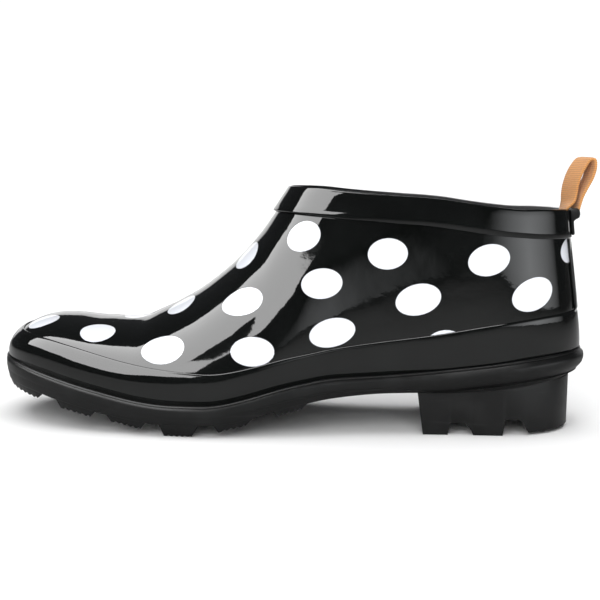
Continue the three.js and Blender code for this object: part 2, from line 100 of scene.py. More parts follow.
LOOP_WIDTH = 0.011
LOOP_TURN = 34
TAB_WIDTH = 0.014
BLOCK_HEIGHT = 0.005
SEAT_GAP = 0.00005
HALF_SLAB = 0.08
FRAME_PIXELS = 600
LIGHT_HEIGHT = 0.06

# Outline of the sole: share of the length, centre line, and half widths as shares of the ball's and
# the heel's.
OUTLINE = [
    (0.0, 0.07, 0.88, 0), (0.1, 0.052, 0.885, 0), (0.15, 0.034, 0.895, 0),
    (0.2, 0.02, 0.918, 0), (0.27, 0.004, 0.965, 0), (0.33, -0.008, 0.988, 0),
    (0.38, -0.021, 0.969, 0), (0.45, -0.034, 0.865, 0.04), (0.52, -0.037, 0.42, 0.57),
    (0.6, -0.029, 0.1, 0.91), (0.68, -0.021, 0, 0.995), (0.76, -0.012, 0, 0.978),
    (0.84, -0.005, 0, 0.989), (0.92, 0, 0, 0.989), (1.0, 0, 0, 0.989),
]

# The sole: share of the length, toe spring, heel lift and thickness.
SOLE = [
    (0.0, 1.0, 0, 1.14), (0.04, 0.915, 0, 1.1), (0.08, 0.79, 0, 1.04), (0.12, 0.61, 0, 1.04),
    (0.18, 0.345, 0, 1.03), (0.245, 0.1, 0, 0.99), (0.295, 0.01, 0, 0.94), (0.35, 0, 0, 0.93),
    (0.39, 0, 0.014, 0.95), (0.436, 0, 0.15, 1.02), (0.497, 0, 0.49, 1.02),
    (0.535, 0, 0.66, 1.01), (0.574, 0, 0.81, 0.98), (0.648, 0, 0.955, 0.89),
    (0.708, 0, 0.99, 0.96), (0.76, 0, 1.0, 1.08), (0.83, 0, 1.085, 1.21),
    (0.91, 0, 1.27, 1.28), (0.972, 0, 1.37, 1.32), (1.0, 0, 1.385, 1.32),
]

# The last: share of the length, toe box, shaft, ridge, widest line and squareness.
LAST = [
    (0.0, 0.74, 0, 0.07, 0.32, 2.25), (0.06, 0.81, 0, 0.066, 0.32, 2.25),
    (0.118, 0.935, 0, 0.06, 0.3, 2.2), (0.168, 1, 0.003, 0.056, 0.28, 2.15),
    (0.24, 1, 0.074, 0.05, 0.26, 2.05), (0.275, 1, 0.16, 0.048, 0.24, 2.0),
    (0.311, 1, 0.249, 0.046, 0.22, 1.95), (0.346, 1, 0.343, 0.044, 0.2, 1.92),
    (0.381, 1, 0.459, 0.042, 0.18, 1.9), (0.416, 1, 0.579, 0.038, 0.165, 1.88),
    (0.451, 1, 0.726, 0.032, 0.15, 1.87), (0.472, 1, 0.833, 0.027, 0.145, 1.88),
    (0.497, 1, 0.969, 0.022, 0.14, 1.9), (0.526, 1, 1.13, 0.016, 0.14, 1.95),
    (0.561, 1, 1.295, 0.01, 0.14, 2.02), (0.611, 1, 1.473, 0.004, 0.14, 2.15),
    (0.671, 1, 1.606, 0, 0.14, 2.3), (0.76, 1, 1.69, 0, 0.145, 2.45),
    (0.86, 1, 1.7, 0, 0.15, 2.55), (1.0, 1, 1.69, 0, 0.15, 2.6),
]

# The foxing's height, and the collar's edge and band, along the length.
FOXING = [
    (0.0, 0.83), (0.03, 0.87), (0.09, 0.98), (0.145, 1.01), (0.22, 1.0), (0.29, 1.0),
    (0.37, 0.92), (0.43, 0.875), (0.5, 0.845), (0.565, 0.85), (0.647, 0.97), (0.747, 1.065),
    (0.836, 1.15), (0.936, 1.15), (1.0, 1.14),
]
COLLAR = [
    (0.0, 1.0, 0.93), (0.49, 1.0, 0.93), (0.55, 0.998, 0.99), (0.6, 0.987, 0.99),
    (0.65, 0.978, 0.97), (0.69, 0.9725, 0.99), (0.74, 0.966, 1.0), (0.78, 0.957, 1.02),
    (0.82, 0.943, 1.01), (0.86, 0.931, 1.01), (0.9, 0.9225, 1.01), (0.94, 0.923, 1.07),
    (1.0, 0.921, 1.07),
]

# Forepart lugs: from, to, depth at the front and at the back. Heel notches: from, to, height.
LUGS = [
    (0.006, 0.083, 0.42, 0.6), (0.122, 0.182, 0.68, 0.58), (0.212, 0.269, 0.52, 0.65),
    (0.302, 0.355, 1.15, 1.15), (0.392, 0.442, 0.62, 0.5), (0.487, 0.532, 0.42, 0.42),
]
NOTCHES = [(0.769, 0.811, 0.29), (0.859, 0.902, 0.38)]

# Centre line of the pull loop from inside the collar, over and down into its keeper, in metres in
# the frame: place in X and Z, and how far it is turned towards the outer side.
LOOP = [
    (0.1258, 0.0960, 0), (0.1262, 0.1015, 0.1), (0.1277, 0.1049, 0.4), (0.1291, 0.1075, 0.8),
    (0.1296, 0.1110, 1), (0.1301, 0.1150, 1), (0.1314, 0.1197, 1), (0.1336, 0.1243, 1),
    (0.1363, 0.1276, 0.9), (0.1386, 0.1274, 0.7), (0.1394, 0.1240, 0.55), (0.1383, 0.1190, 0.5),
    (0.1359, 0.1140, 0.45), (0.1340, 0.1095, 0.4), (0.1328, 0.1050, 0.4), (0.1322, 0.1012, 0.3),
]

# Dots on the upper: a point near the middle, the long way's tilt in degrees and both half sizes.
OUTER_DOTS = [
    (0.0048, -0.0311, 0.0926, 20, 0.0086, 0.0074),
    (0.0449, -0.0332, 0.0841, 5, 0.0095, 0.0074),
    (0.0896, -0.0320, 0.0819, 17, 0.0100, 0.0074),
    (0.1108, -0.0290, 0.0666, 22, 0.0110, 0.0076),
    (0.0594, -0.0331, 0.0640, 15, 0.0110, 0.0074),
    (0.0141, -0.0374, 0.0713, 8, 0.0098, 0.0072),
    (-0.0225, -0.0349, 0.0620, 2, 0.0108, 0.0074),
    (-0.0178, -0.0444, 0.0398, 0, 0.0104, 0.0070),
    (0.0194, -0.0382, 0.0483, 13, 0.0112, 0.0068),
    (-0.0587, -0.0396, 0.0396, -8, 0.0110, 0.0080),
    (0.0715, -0.0340, 0.0424, 10, 0.0095, 0.0072),
    (0.0735, -0.0330, 0.1036, 8, 0.0085, 0.0074),
    (0.1330, -0.0120, 0.0860, 10, 0.0085, 0.0058),
]
TOP_DOTS = [
    (-0.0935, -0.0211, 0.0440, 0, 0.0086, 0.0100),
    (-0.0558, -0.0095, 0.0560, 35, 0.0078, 0.0100),
    (-0.0227, -0.0110, 0.0814, 40, 0.0080, 0.0100),
    (-0.1230, -0.0050, 0.0440, 20, 0.0080, 0.0095),
    (-0.0800, 0.0120, 0.0490, 10, 0.0080, 0.0098),
]


def column(rows, key):
    """A smooth curve through one column of a table whose first column is the share of the length."""
    at = np.array([row[0] for row in rows], float)
    value = np.array([row[key] for row in rows], float)
    after = np.minimum(np.arange(len(at)) + 1, len(at) - 1)
    before = np.maximum(np.arange(len(at)) - 1, 0)
    slope = (value[after] - value[before]) / (at[after] - at[before])

    def read(along):
        a = np.clip(along, at[0], at[-1])
        i = np.clip(np.searchsorted(at, a) - 1, 0, len(at) - 2)
        step = at[i + 1] - at[i]
        t = (a - at[i]) / step
        start = value[i] * (1 + 2 * t) + slope[i] * step * t
        end = value[i + 1] * (3 - 2 * t) - slope[i + 1] * step * (1 - t)
        return start * (1 - t) ** 2 + end * t**2

    return read


centre_line, ball_share, heel_share = (column(OUTLINE, k) for k in (1, 2, 3))
spring, lift, thick = (column(SOLE, k) for k in (1, 2, 3))
toe_share, shaft_share, ridge_share, belly_share, squareness = (column(LAST, k) for k in range(1, 6))
foxing_share = column(FOXING, 1)
edge_share, band_share = (column(COLLAR, k) for k in (1, 2))


def smooth(t):
    u = np.clip(t, 0, 1)
    return u * u * (3 - 2 * u)


def round_end(share, span, power=2.15):
    """From zero at an end to one at the given share, as a round end is."""
    t = np.clip(share / span, 0, 1)
    return (1 - (1 - t) ** power) ** (1 / power)


def x_at(a):
    return (a - 0.5) * LENGTH


def along_at(x):
    return x / LENGTH + 0.5


def sole_under(a):
    return LUG_DEPTH + spring(a) * TOE_SPRING + lift(a) * (HEEL_HEIGHT - LUG_DEPTH)


def sole_top(a):
    return sole_under(a) + thick(a) * SOLE_THICK


def foxing_top(a):
    return sole_top(a) + foxing_share(a) * FOXING_HEIGHT


def collar_top(a, y=0):
    return edge_share(a) * COLLAR_HEIGHT - COLLAR_SLOPE * y


def band_low(a, y=0):
    return collar_top(a, y) - band_share(a) * BAND_HEIGHT


def half_width(a):
    return (ball_share(a) * BALL_WIDTH + heel_share(a) * HEEL_WIDTH) / 2


SHAFT_RISE = COLLAR_HEIGHT - sole_top(THROAT_AT) - TOE_BOX
FIRST = FORM_INSET / LENGTH
FINAL = 1 - FIRST - HEEL_LIP / LENGTH


def half_section(a, side):
    """Measures of one side of the last's section at a share of the length."""
    plan = np.minimum(round_end(a - FIRST, TOE_ROUND), round_end(FINAL - a, HEEL_ROUND))
    top = round_end(a - FIRST, TOE_TOP_ROUND, 2)
    base = sole_top(a) + CLEAR
    centre = centre_line(a) * BALL_WIDTH
    rise = (toe_share(a) * TOE_BOX + shaft_share(a) * SHAFT_RISE) * top
    return SimpleNamespace(
        base=base,
        belly=base + belly_share(a) * rise,
        ridge_z=base + rise,
        edge=centre + side * (half_width(a) - FORM_INSET) * plan,
        ridge=centre + (ridge_share(a) * BALL_WIDTH - centre) * plan,
        tuck=side * TUCK * plan * top,
        power=2 / squareness(a),
    )


def y_on_last(a, side, z):
    """How far across the last's surface is at a height."""
    s = half_section(a, side)
    low = np.clip((z - s.base) / np.maximum(s.belly - s.base, 1e-9), 0, 1)
    high = np.clip((z - s.belly) / np.maximum(s.ridge_z - s.belly, 1e-9), 0, 1)
    across = np.cos(np.arcsin(high ** (1 / s.power))) ** s.power
    return np.where(
        z < s.belly, s.edge - s.tuck * (1 - low) ** 2, s.ridge + (s.edge - s.ridge) * across
    )


def leaned_x(a, z):
    """The back of the boot leans forward as it rises."""
    lean = BACK_LEAN * smooth((z - LEAN_START) / (COLLAR_HEIGHT - LEAN_START))
    return x_at(a) - lean * smooth((a - THROAT_AT) / (1 - THROAT_AT))


def evenly(points, count):
    """The same line as count + 1 evenly spaced points."""
    runs = np.r_[0, np.cumsum(np.linalg.norm(np.diff(points, axis=0), axis=1))]
    wanted = np.linspace(0, runs[-1], count + 1)
    return np.stack([np.interp(wanted, runs, points[:, k]) for k in range(points.shape[1])], axis=1)


def crossing(height):
    """Where along the boot the ridge rises through a height."""
    low, high = FIRST, 0.6
    for _ in range(50):
        middle = (low + high) / 2
        s = half_section(middle, 1)
        low, high = (low, middle) if s.ridge_z > height(middle, s.ridge) else (middle, high)
    return high


def level_line(height, side, count):
    """The line on the last's surface at a height, from the ridge round one side to the back."""
    front = crossing(height)
    a = front + (FINAL - front) * (1 - np.cos(np.linspace(0, math.pi, 900))) / 2
    y = half_section(a, side).ridge
    for _ in range(8):
        y = y_on_last(a, side, height(a, y))
    z = height(a, y)
    return evenly(np.stack([leaned_x(a, z), y, z], axis=1), count)


def level_loop(height, count):
    """A closed loop round the boot: from the back along the outer side to the front and back again."""
    outer = level_line(height, -1, count)[::-1]
    inner = level_line(height, 1, count)
    return np.concatenate([outer, inner[1:-1]])


def girdle(low, high, shares, count):
    """Loops between two heights at shares of the way up, and the directions straight out of them."""

    def between(t):
        return lambda a, y: low(a, y) + (high(a, y) - low(a, y)) * t

    loops = np.array([level_loop(between(t), count) for t in shares])
    around = np.roll(loops, -1, axis=1) - np.roll(loops, 1, axis=1)
    upward = np.gradient(loops, axis=0)
    out = np.cross(upward, around)
    return loops, out / np.maximum(np.linalg.norm(out, axis=2, keepdims=True), 1e-12)


def frame_shift():
    """How far the CAD frame's origin lies from the middle of the outline."""
    a = np.linspace(0, 1, 2000)
    rounded = np.minimum(round_end(a, TOE_ROUND), round_end(1 - a, HEEL_ROUND))
    outer = centre_line(a) * BALL_WIDTH - half_width(a) * rounded
    low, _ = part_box("outsole")
    return np.array([low.x - x_at(0), low.y - outer.min(), 0])


SHIFT = frame_shift()


def deselect():
    if bpy.context.object and bpy.context.object.mode != "OBJECT":
        bpy.ops.object.mode_set(mode="OBJECT")
    bpy.ops.object.select_all(action="DESELECT")


def only(obj):
    deselect()
    obj.select_set(True)
    bpy.context.view_layer.objects.active = obj


def join(objects):
    only(objects[0])
    for obj in objects[1:]:
        obj.select_set(True)
    bpy.ops.object.join()
    return objects[0]


def apply(obj, kind, **settings):
    """Adds a modifier and applies it."""
    only(obj)
    modifier = obj.modifiers.new(kind.title(), kind)
    for key, value in settings.items():
        setattr(modifier, key, value)
    bpy.ops.object.modifier_apply(modifier=modifier.name)


def laid_grid(name, rows):
    """A grid primitive with its points laid on rows of places."""
    rows = np.asarray(rows)
    deselect()
    bpy.ops.mesh.primitive_grid_add(
        x_subdivisions=rows.shape[1] - 1, y_subdivisions=rows.shape[0] - 1, size=1
    )
    obj = bpy.context.object
    obj.name = obj.data.name = name
    if len(obj.data.vertices) != rows.shape[0] * rows.shape[1]:
        raise RuntimeError(f"{name}: the grid has {len(obj.data.vertices)} points for {rows.shape}")
    obj.data.vertices.foreach_set("co", (rows + SHIFT).ravel())
    obj.data.update()
    return obj


def close_up(obj, holes=False):
    """Merges doubled points, fills open ends if asked and turns the faces outwards."""
    only(obj)
    bpy.ops.object.mode_set(mode="EDIT")
    bpy.ops.mesh.select_all(action="SELECT")
    bpy.ops.mesh.remove_doubles(threshold=2e-5)
    if holes:
        bpy.ops.mesh.fill_holes(sides=0)
    bpy.ops.mesh.select_all(action="SELECT")
    bpy.ops.mesh.normals_make_consistent(inside=False)
    bpy.ops.object.mode_set(mode="OBJECT")


def face_out(obj):
    """Turns a closed piece that came out inside out."""
    mesh = bmesh.new()
    mesh.from_mesh(obj.data)
    if mesh.calc_volume(signed=True) < 0:
        bmesh.ops.reverse_faces(mesh, faces=mesh.faces)
        mesh.to_mesh(obj.data)
    mesh.free()


def finish_piece(obj, node, materials, angle=40):
    """Gives a piece its materials and shading, hides the CAD node that it stands for and hangs it on
    the body.
    """
    face_out(obj)
    only(obj)
    bpy.ops.object.shade_smooth_by_angle(angle=math.radians(angle))
    obj.data.materials.clear()
    for material in materials:
        obj.data.materials.append(material)
    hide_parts(node)
    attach(obj, BODY)
    deselect()


def girdle_piece(name, low, high, profile, count):
    """A closed strip round the boot with a profile of shares of its height and distances out."""
    shares = sorted({share for share, _ in profile})
    loops, out = girdle(low, high, shares, count)
    rows = [loops[shares.index(share)] + out[shares.index(share)] * off for share, off in profile]
    rows = np.array(rows + rows[:1])
    obj = laid_grid(name, np.concatenate([rows, rows[:, :1]], axis=1))
    close_up(obj)
    return obj


def back_piece(name, low, high, profile, width, columns, bevel):
    """A closed pad on the back of the boot with the same kind of profile, cut off at both sides."""
    shares = sorted({share for share, _ in profile})
    wanted = np.linspace(-width / 2, width / 2, columns)
    sheets = []
    for share in shares:

        def height(a, y, t=share):
            return low(a, y) + (high(a, y) - low(a, y)) * t

        line = level_loop(height, 500)
        line = line[line[:, 0] > line[:, 0].max() - 0.03]
        line = line[np.argsort(line[:, 1])]
        x, z = (np.interp(wanted, line[:, 1], line[:, k]) for k in (0, 2))
        sheets.append(np.stack([x, wanted, z], axis=1))
    sheets = np.array(sheets)
    out = np.cross(np.gradient(sheets, axis=1), np.gradient(sheets, axis=0))
    out /= np.linalg.norm(out, axis=2, keepdims=True)
    rows = [sheets[shares.index(share)] + out[shares.index(share)] * off for share, off in profile]
    obj = laid_grid(name, np.array(rows + rows[:1]))
    close_up(obj, holes=True)
    apply(obj, "BEVEL", width=bevel, segments=3, limit_method="ANGLE", angle_limit=math.radians(50))
    return obj


def half_line(a, side, points):
    """One side of a section from the sole up to the ridge or, past the throat, to the collar."""
    s = half_section(a, side)
    low = np.linspace(0, 1, 40, endpoint=False)
    turn = np.linspace(0, math.pi / 2, 300)
    y = np.r_[s.edge - s.tuck * (1 - low) ** 2, s.ridge + (s.edge - s.ridge) * np.cos(turn) ** s.power]
    z = np.r_[
        s.base + (s.belly - s.base) * low, s.belly + (s.ridge_z - s.belly) * np.sin(turn) ** s.power
    ]
    over = z - collar_top(a, y)
    if over[-1] > 0:
        k = int(np.argmax(over > 0))
        share = -over[k - 1] / (over[k] - over[k - 1])
        y = np.r_[y[:k], y[k - 1] + (y[k] - y[k - 1]) * share]
        z = np.r_[z[:k], z[k - 1] + (z[k] - z[k - 1]) * share]
    line = evenly(np.stack([y, z], axis=1), points)
    return np.stack([leaned_x(a, line[:, 1]), line[:, 0], line[:, 1]], axis=1)


def upper_rows(side, before=84, after=92, points=74):
    """Rows of places on one side of the upper, closer together where it turns round an end."""
    front = crossing(collar_top)
    u = np.linspace(0, 1, before + 1)
    shares = FIRST + (front - FIRST) * u * u * (2 - u)
    rear = front + (FINAL - front) * (1 - np.cos(np.linspace(0, math.pi, after + 1))) / 2
    return np.array([half_line(a, side, points) for a in np.r_[shares, rear[1:]]])


def plan_line(shares, side, inset, back):
    """The sole's outline moved in by an inset, its heel set forward by a setback."""
    rounded = np.minimum(round_end(shares, TOE_ROUND), round_end(1 - shares, HEEL_ROUND))
    x = x_at(shares)
    y = centre_line(shares) * BALL_WIDTH + side * half_width(shares) * rounded
    run = np.stack([np.gradient(x), np.gradient(y)], axis=1)
    run[0], run[-1] = (0, side), (0, -side)
    run /= np.linalg.norm(run, axis=1, keepdims=True)
    moved = side * inset(shares)
    setback = back * smooth((shares - BREAST_AT) / (1 - BREAST_AT))
    return x + run[:, 1] * moved - setback, y - run[:, 0] * moved


def plan_stack(name, levels, stations=240):
    """A closed slab between outlines stacked from the top down, each with inset, setback and height."""
    shares = (1 - np.cos(np.linspace(0, math.pi, stations + 1))) / 2
    sides = {}
    for side in (-1, 1):
        sides[side] = []
        for inset, back, height in levels:
            x, y = plan_line(shares, side, inset, back)
            sides[side].append(np.stack([x, y, height(along_at(x))], axis=1))
    rows = sides[-1][::-1] + sides[1]
    obj = laid_grid(name, np.array(rows + rows[:1]))
    close_up(obj)
    face_out(obj)
    return obj


def across_slab(name, profile):
    """A side profile in X and Z, extruded across the boot to both sides."""
    deselect()
    bpy.ops.mesh.primitive_circle_add(vertices=len(profile), radius=1, fill_type="NGON")
    obj = bpy.context.object
    obj.name = obj.data.name = name
    for vertex, (x, z) in zip(obj.data.vertices, profile):
        vertex.co = (x + SHIFT[0], -HALF_SLAB, z)
    only(obj)
    bpy.ops.object.mode_set(mode="EDIT")
    bpy.ops.mesh.select_all(action="SELECT")
    bpy.ops.mesh.extrude_region_move(TRANSFORM_OT_translate={"value": (0, 2 * HALF_SLAB, 0)})
    bpy.ops.mesh.select_all(action="SELECT")
    bpy.ops.mesh.normals_make_consistent(inside=False)
    bpy.ops.object.mode_set(mode="OBJECT")
    face_out(obj)
    return obj


def carve(obj, tool, operation):
    """A boolean with a tool that is then removed."""
    apply(obj, "BOOLEAN", object=tool, operation=operation, solver="EXACT")
    bpy.data.objects.remove(tool)


def side_inset(a):
    return LUG_INSET * (0.4 + 0.6 * smooth((a - 0.36) / 0.2))


def heel_share_of_rim(a):
    """Zero along the forepart and one round the heel."""
    return smooth((a - BREAST_AT + 0.06) / 0.12)


def rim_levels(bead):
    """The outsole's side from the top down: a bead, a swelling rim, a step and the sole's side."""

    def bulge(a):
        return 0.0002 + 0.0014 * heel_share_of_rim(a)

    def rim(share, extra=0.0):
        swell = (2 * share - 1) ** 2
        depth = lambda a: RIM_HEIGHT * (0.95 + 0.33 * heel_share_of_rim(a)) * share
        return (lambda a: bulge(a) * swell + extra, 0, lambda a: sole_top(a) - depth(a))

    def top(extra, drop):
        return (lambda a: bulge(a) + extra, 0, lambda a: sole_top(a) - drop)

    waist = lambda a: RIM_STEP * (0.2 + 0.8 * smooth((a - 0.36) / 0.2))
    step = lambda a: sole_top(a) - RIM_HEIGHT * (1.02 + 0.55 * heel_share_of_rim(a))
    levels = [top(0.0022, 0), top(0.0009, 0), top(0.0004, 0.1 * bead), top(0.0001, 0.5 * bead)]
    levels += [top(0, bead), top(0.0003, 1.45 * bead), top(0.00005, 2 * bead)]
    levels += [rim(0.32), rim(0.45), rim(0.6), rim(0.75), rim(0.88), rim(0.95, 0.0001)]
    levels += [
        (lambda a: waist(a) * 0.55 + bulge(a), HEEL_SETBACK * 0.3, lambda a: step(a) + 0.0003),
        (waist, HEEL_SETBACK * 0.6, lambda a: step(a) - 0.0002),
        (lambda a: side_inset(a) * 0.92, HEEL_SETBACK + 0.0014, lambda a: sole_under(a) + 0.0012),
        (side_inset, HEEL_SETBACK + 0.0016, lambda a: sole_under(a) + 0.0005),
        (lambda a: side_inset(a) + 0.0006, HEEL_SETBACK + 0.002, sole_under),
    ]
    return levels


def lug_profile(start, end, front, back, tooth):
    """The side view of a lug with small teeth along its lower edge."""
    x0, x1 = x_at(start) + LUG_DRAFT, x_at(end) - LUG_DRAFT
    scallop = ((0.0, 0), (0.25, 0.15), (0.5, 0.9), (0.62, 1), (0.75, 0.7))
    z0, z1 = (max(sole_under(a) - share * LUG_DEPTH, 0) for a, share in ((start, front), (end, back)))
    points = [(x_at(start) - 0.0015, sole_under(start) + 0.001), (x0, z0)]
    teeth = max(round((x1 - x0) / 0.0028), 3)
    for k in range(teeth):
        for share, up in scallop:
            t = (k + 0.3 + share) / (teeth + 0.1)
            points.append((x0 + (x1 - x0) * t, z0 + (z1 - z0) * t + up * tooth))
    return points + [(x1, z1), (x_at(end) + 0.0025, sole_under(end) + 0.001)]


def heel_profile():
    """The side view of the heel with a sloping breast and two notches."""
    top = lambda a: sole_under(a) + 0.0004
    points = [(x_at(BREAST_AT), top(BREAST_AT)), (x_at(BREAST_AT) + BREAST_SLOPE, 0)]
    for start, end, high in NOTCHES:
        x, wide, up = x_at(start), (end - start) * LENGTH, high * HEEL_HEIGHT
        points += [(x, 0), (x + 0.0012, up * 0.96), (x + 0.0017, up), (x + wide * 0.5, up)]
        points += [
            (x + wide * 0.66, up * 0.93), (x + wide * 0.8, up * 0.72), (x + wide * 0.9, up * 0.4),
            (x + wide, 0),
        ]
    points[-1] = (points[-1][0], HEEL_STRIKE / 2)
    points.append((x_at(1), HEEL_STRIKE))
    return points + [(x_at(a), top(a)) for a in np.linspace(1, BREAST_AT, 24)[:-1]]


def smooth_path(points, count):
    """A centripetal Catmull-Rom curve through points, as evenly spaced places."""
    p = np.array(points, float)
    p = np.concatenate([[2 * p[0] - p[1]], p, [2 * p[-1] - p[-2]]])
    places = []
    for k in range(1, len(p) - 2):
        a, b, c, d = p[k - 1 : k + 3]
        ab, bc, cd = (math.sqrt(np.linalg.norm(v)) for v in (b - a, c - b, d - c))
        leave = ((b - a) / ab - (c - a) / (ab + bc) + (c - b) / bc) * bc
        reach = ((c - b) / bc - (d - b) / (bc + cd) + (d - c) / cd) * bc
        t = np.linspace(0, 1, 60, endpoint=False)[:, None]
        curve = b * (2 * t**3 - 3 * t**2 + 1) + leave * (t**3 - 2 * t**2 + t)
        places.append(curve + c * (3 * t**2 - 2 * t**3) + reach * (t**3 - t**2))
    return evenly(np.concatenate(places + [p[-2][None]]), count)


def put(tree, kind, inputs=None, **settings):
    """Adds a node, sets it up and links or fills its inputs."""
    node = tree.nodes.new(kind)
    for key, value in settings.items():
        setattr(node, key, value)
    for key, value in (inputs or {}).items():
        if isinstance(value, bpy.types.NodeSocket):
            tree.links.new(value, node.inputs[key])
        else:
            node.inputs[key].default_value = value
    return node


def new_group(name, inputs, outputs):
    """An empty shader node group with its sockets, and its two end nodes."""
    tree = bpy.data.node_groups.new(name, "ShaderNodeTree")
    for label, kind, value in inputs:
        socket = tree.interface.new_socket(name=label, in_out="INPUT", socket_type=kind)
        if value is not None:
            socket.default_value = value
    for label, kind in outputs:
        tree.interface.new_socket(name=label, in_out="OUTPUT", socket_type=kind)
    return tree, tree.nodes.new("NodeGroupInput"), tree.nodes.new("NodeGroupOutput")


def grain_group():
    """Fine moulded grain as a height from 0 to 1."""
    inputs = [
        ("Vector", "NodeSocketVector", None), ("Scale", "NodeSocketFloat", 900.0),
        ("Pits", "NodeSocketFloat", 0.3),
    ]
    tree, start, end = new_group("Moulded grain", inputs, [("Height", "NodeSocketFloat")])
    given = start.outputs
    noise = put(
        tree, "ShaderNodeTexNoise", {"Vector": given["Vector"], "Scale": given["Scale"], "Detail": 3.0}
    )
    pits = put(tree, "ShaderNodeTexVoronoi", {"Vector": given["Vector"], "Scale": given["Scale"]})
    both = put(
        tree,
        "ShaderNodeMix",
        {"Factor": given["Pits"], "A": noise.outputs["Fac"], "B": pits.outputs["Distance"]},
    )
    tree.links.new(both.outputs["Result"], end.inputs["Height"])
    return tree


def dust_group():
    """Soft patches of dust and thin scuffs, each as a mask."""
    inputs = [("Vector", "NodeSocketVector", None), ("Scale", "NodeSocketFloat", 30.0)]
    tree, start, end = new_group(
        "Dust and scuffs", inputs, [("Dust", "NodeSocketFloat"), ("Scuff", "NodeSocketFloat")]
    )
    given = start.outputs
    cloud = put(
        tree,
        "ShaderNodeTexNoise",
        {"Vector": given["Vector"], "Scale": given["Scale"], "Detail": 5.0, "Roughness": 0.6},
    )
    dust = put(
        tree, "ShaderNodeMapRange", {"Value": cloud.outputs["Fac"], "From Min": 0.45, "From Max": 0.75}
    )
    stretch = put(tree, "ShaderNodeMapping", {"Vector": given["Vector"], "Scale": (14.0, 40.0, 260.0)})
    lines = put(
        tree, "ShaderNodeTexNoise", {"Vector": stretch.outputs["Vector"], "Scale": 1.5, "Detail": 4.0}
    )
    scuff = put(
        tree, "ShaderNodeMapRange", {"Value": lines.outputs["Fac"], "From Min": 0.62, "From Max": 0.72}
    )
    tree.links.new(dust.outputs["Result"], end.inputs["Dust"])
    tree.links.new(scuff.outputs["Result"], end.inputs["Scuff"])
    return tree


def new_material(name):
    """A material with its Principled shader, ready to be fed."""
    material = bpy.data.materials.new(name)
    material.use_nodes = True
    tree = material.node_tree
    return material, tree, tree.nodes["Principled BSDF"]


def blend_colours(tree, factor, first, second):
    mix = put(tree, "ShaderNodeMix", {"Factor": factor}, data_type="RGBA")
    for key, value in (("A", first), ("B", second)):
        socket = next(s for s in mix.inputs if s.name == key and s.type == "RGBA")
        if isinstance(value, bpy.types.NodeSocket):
            tree.links.new(value, socket)
        else:
            socket.default_value = value
    return next(s for s in mix.outputs if s.type == "RGBA")


def shade_of(colour, share):
    return (colour[0] * share, colour[1] * share, colour[2] * share, 1)


def gloss_rubber(finish, groups, name, dots=False, ripple=0.00022):
    """Dipped glossy rubber, black, with white dots where the piece carries them."""
    material, tree, shader = new_material(name)
    place = put(tree, "ShaderNodeTexCoord").outputs["Object"]
    dust = put(tree, "ShaderNodeGroup", {"Vector": place, "Scale": 40.0}, node_tree=groups["dust"])
    black = finish.rubber
    colour = blend_colours(tree, dust.outputs["Dust"], shade_of(black, 0.85), shade_of(black, 1.3))
    if dots:
        edge = put(tree, "ShaderNodeAttribute", attribute_name="dot", attribute_type="GEOMETRY")
        mask = put(
            tree,
            "ShaderNodeMapRange",
            {
                "Value": edge.outputs["Fac"],
                "From Min": -0.00014,
                "From Max": 0.00014,
                "To Min": 1.0,
                "To Max": 0.0,
            },
        )
        colour = blend_colours(tree, mask.outputs["Result"], colour, shade_of(finish.dot, 1))
    tree.links.new(colour, shader.inputs["Base Color"])
    rough = put(
        tree,
        "ShaderNodeMapRange",
        {"Value": dust.outputs["Dust"], "To Min": finish.gloss, "To Max": finish.gloss + 0.035},
    )
    tree.links.new(rough.outputs["Result"], shader.inputs["Roughness"])
    swell = put(tree, "ShaderNodeTexNoise", {"Vector": place, "Scale": 55.0, "Detail": 1.5})
    first = put(
        tree, "ShaderNodeBump", {"Height": swell.outputs["Fac"], "Distance": ripple, "Strength": 1.0}
    )
    fine = put(tree, "ShaderNodeTexNoise", {"Vector": place, "Scale": 420.0, "Detail": 2.0})
    second = put(
        tree,
        "ShaderNodeBump",
        {
            "Height": fine.outputs["Fac"],
            "Distance": ripple * 0.07,
            "Strength": 1.0,
            "Normal": first.outputs["Normal"],
        },
    )
    tree.links.new(second.outputs["Normal"], shader.inputs["Normal"])
    shader.inputs["IOR"].default_value = 1.5
    return material


def matte_rubber(finish, groups, name, grain=1400.0, depth=0.00006):
    """Moulded matte rubber with fine grain, dust and scuffs."""
    material, tree, shader = new_material(name)
    place = put(tree, "ShaderNodeTexCoord").outputs["Object"]
    dust = put(tree, "ShaderNodeGroup", {"Vector": place, "Scale": 60.0}, node_tree=groups["dust"])
    colour = blend_colours(
        tree, dust.outputs["Dust"], shade_of(finish.sole, 0.8), shade_of(finish.sole, 1.35)
    )
    colour = blend_colours(tree, dust.outputs["Scuff"], colour, shade_of(finish.sole, 2.2))
    tree.links.new(colour, shader.inputs["Base Color"])
    rough = put(
        tree, "ShaderNodeMapRange", {"Value": dust.outputs["Dust"], "To Min": 0.38, "To Max": 0.55}
    )
    tree.links.new(rough.outputs["Result"], shader.inputs["Roughness"])
    grit = put(
        tree,
        "ShaderNodeGroup",
        {"Vector": place, "Scale": grain, "Pits": 0.35},
        node_tree=groups["grain"],
    )
    bump = put(
        tree, "ShaderNodeBump", {"Height": grit.outputs["Height"], "Distance": depth, "Strength": 0.8}
    )
    tree.links.new(bump.outputs["Normal"], shader.inputs["Normal"])
    shader.inputs["Specular IOR Level"].default_value = 0.3
    return material


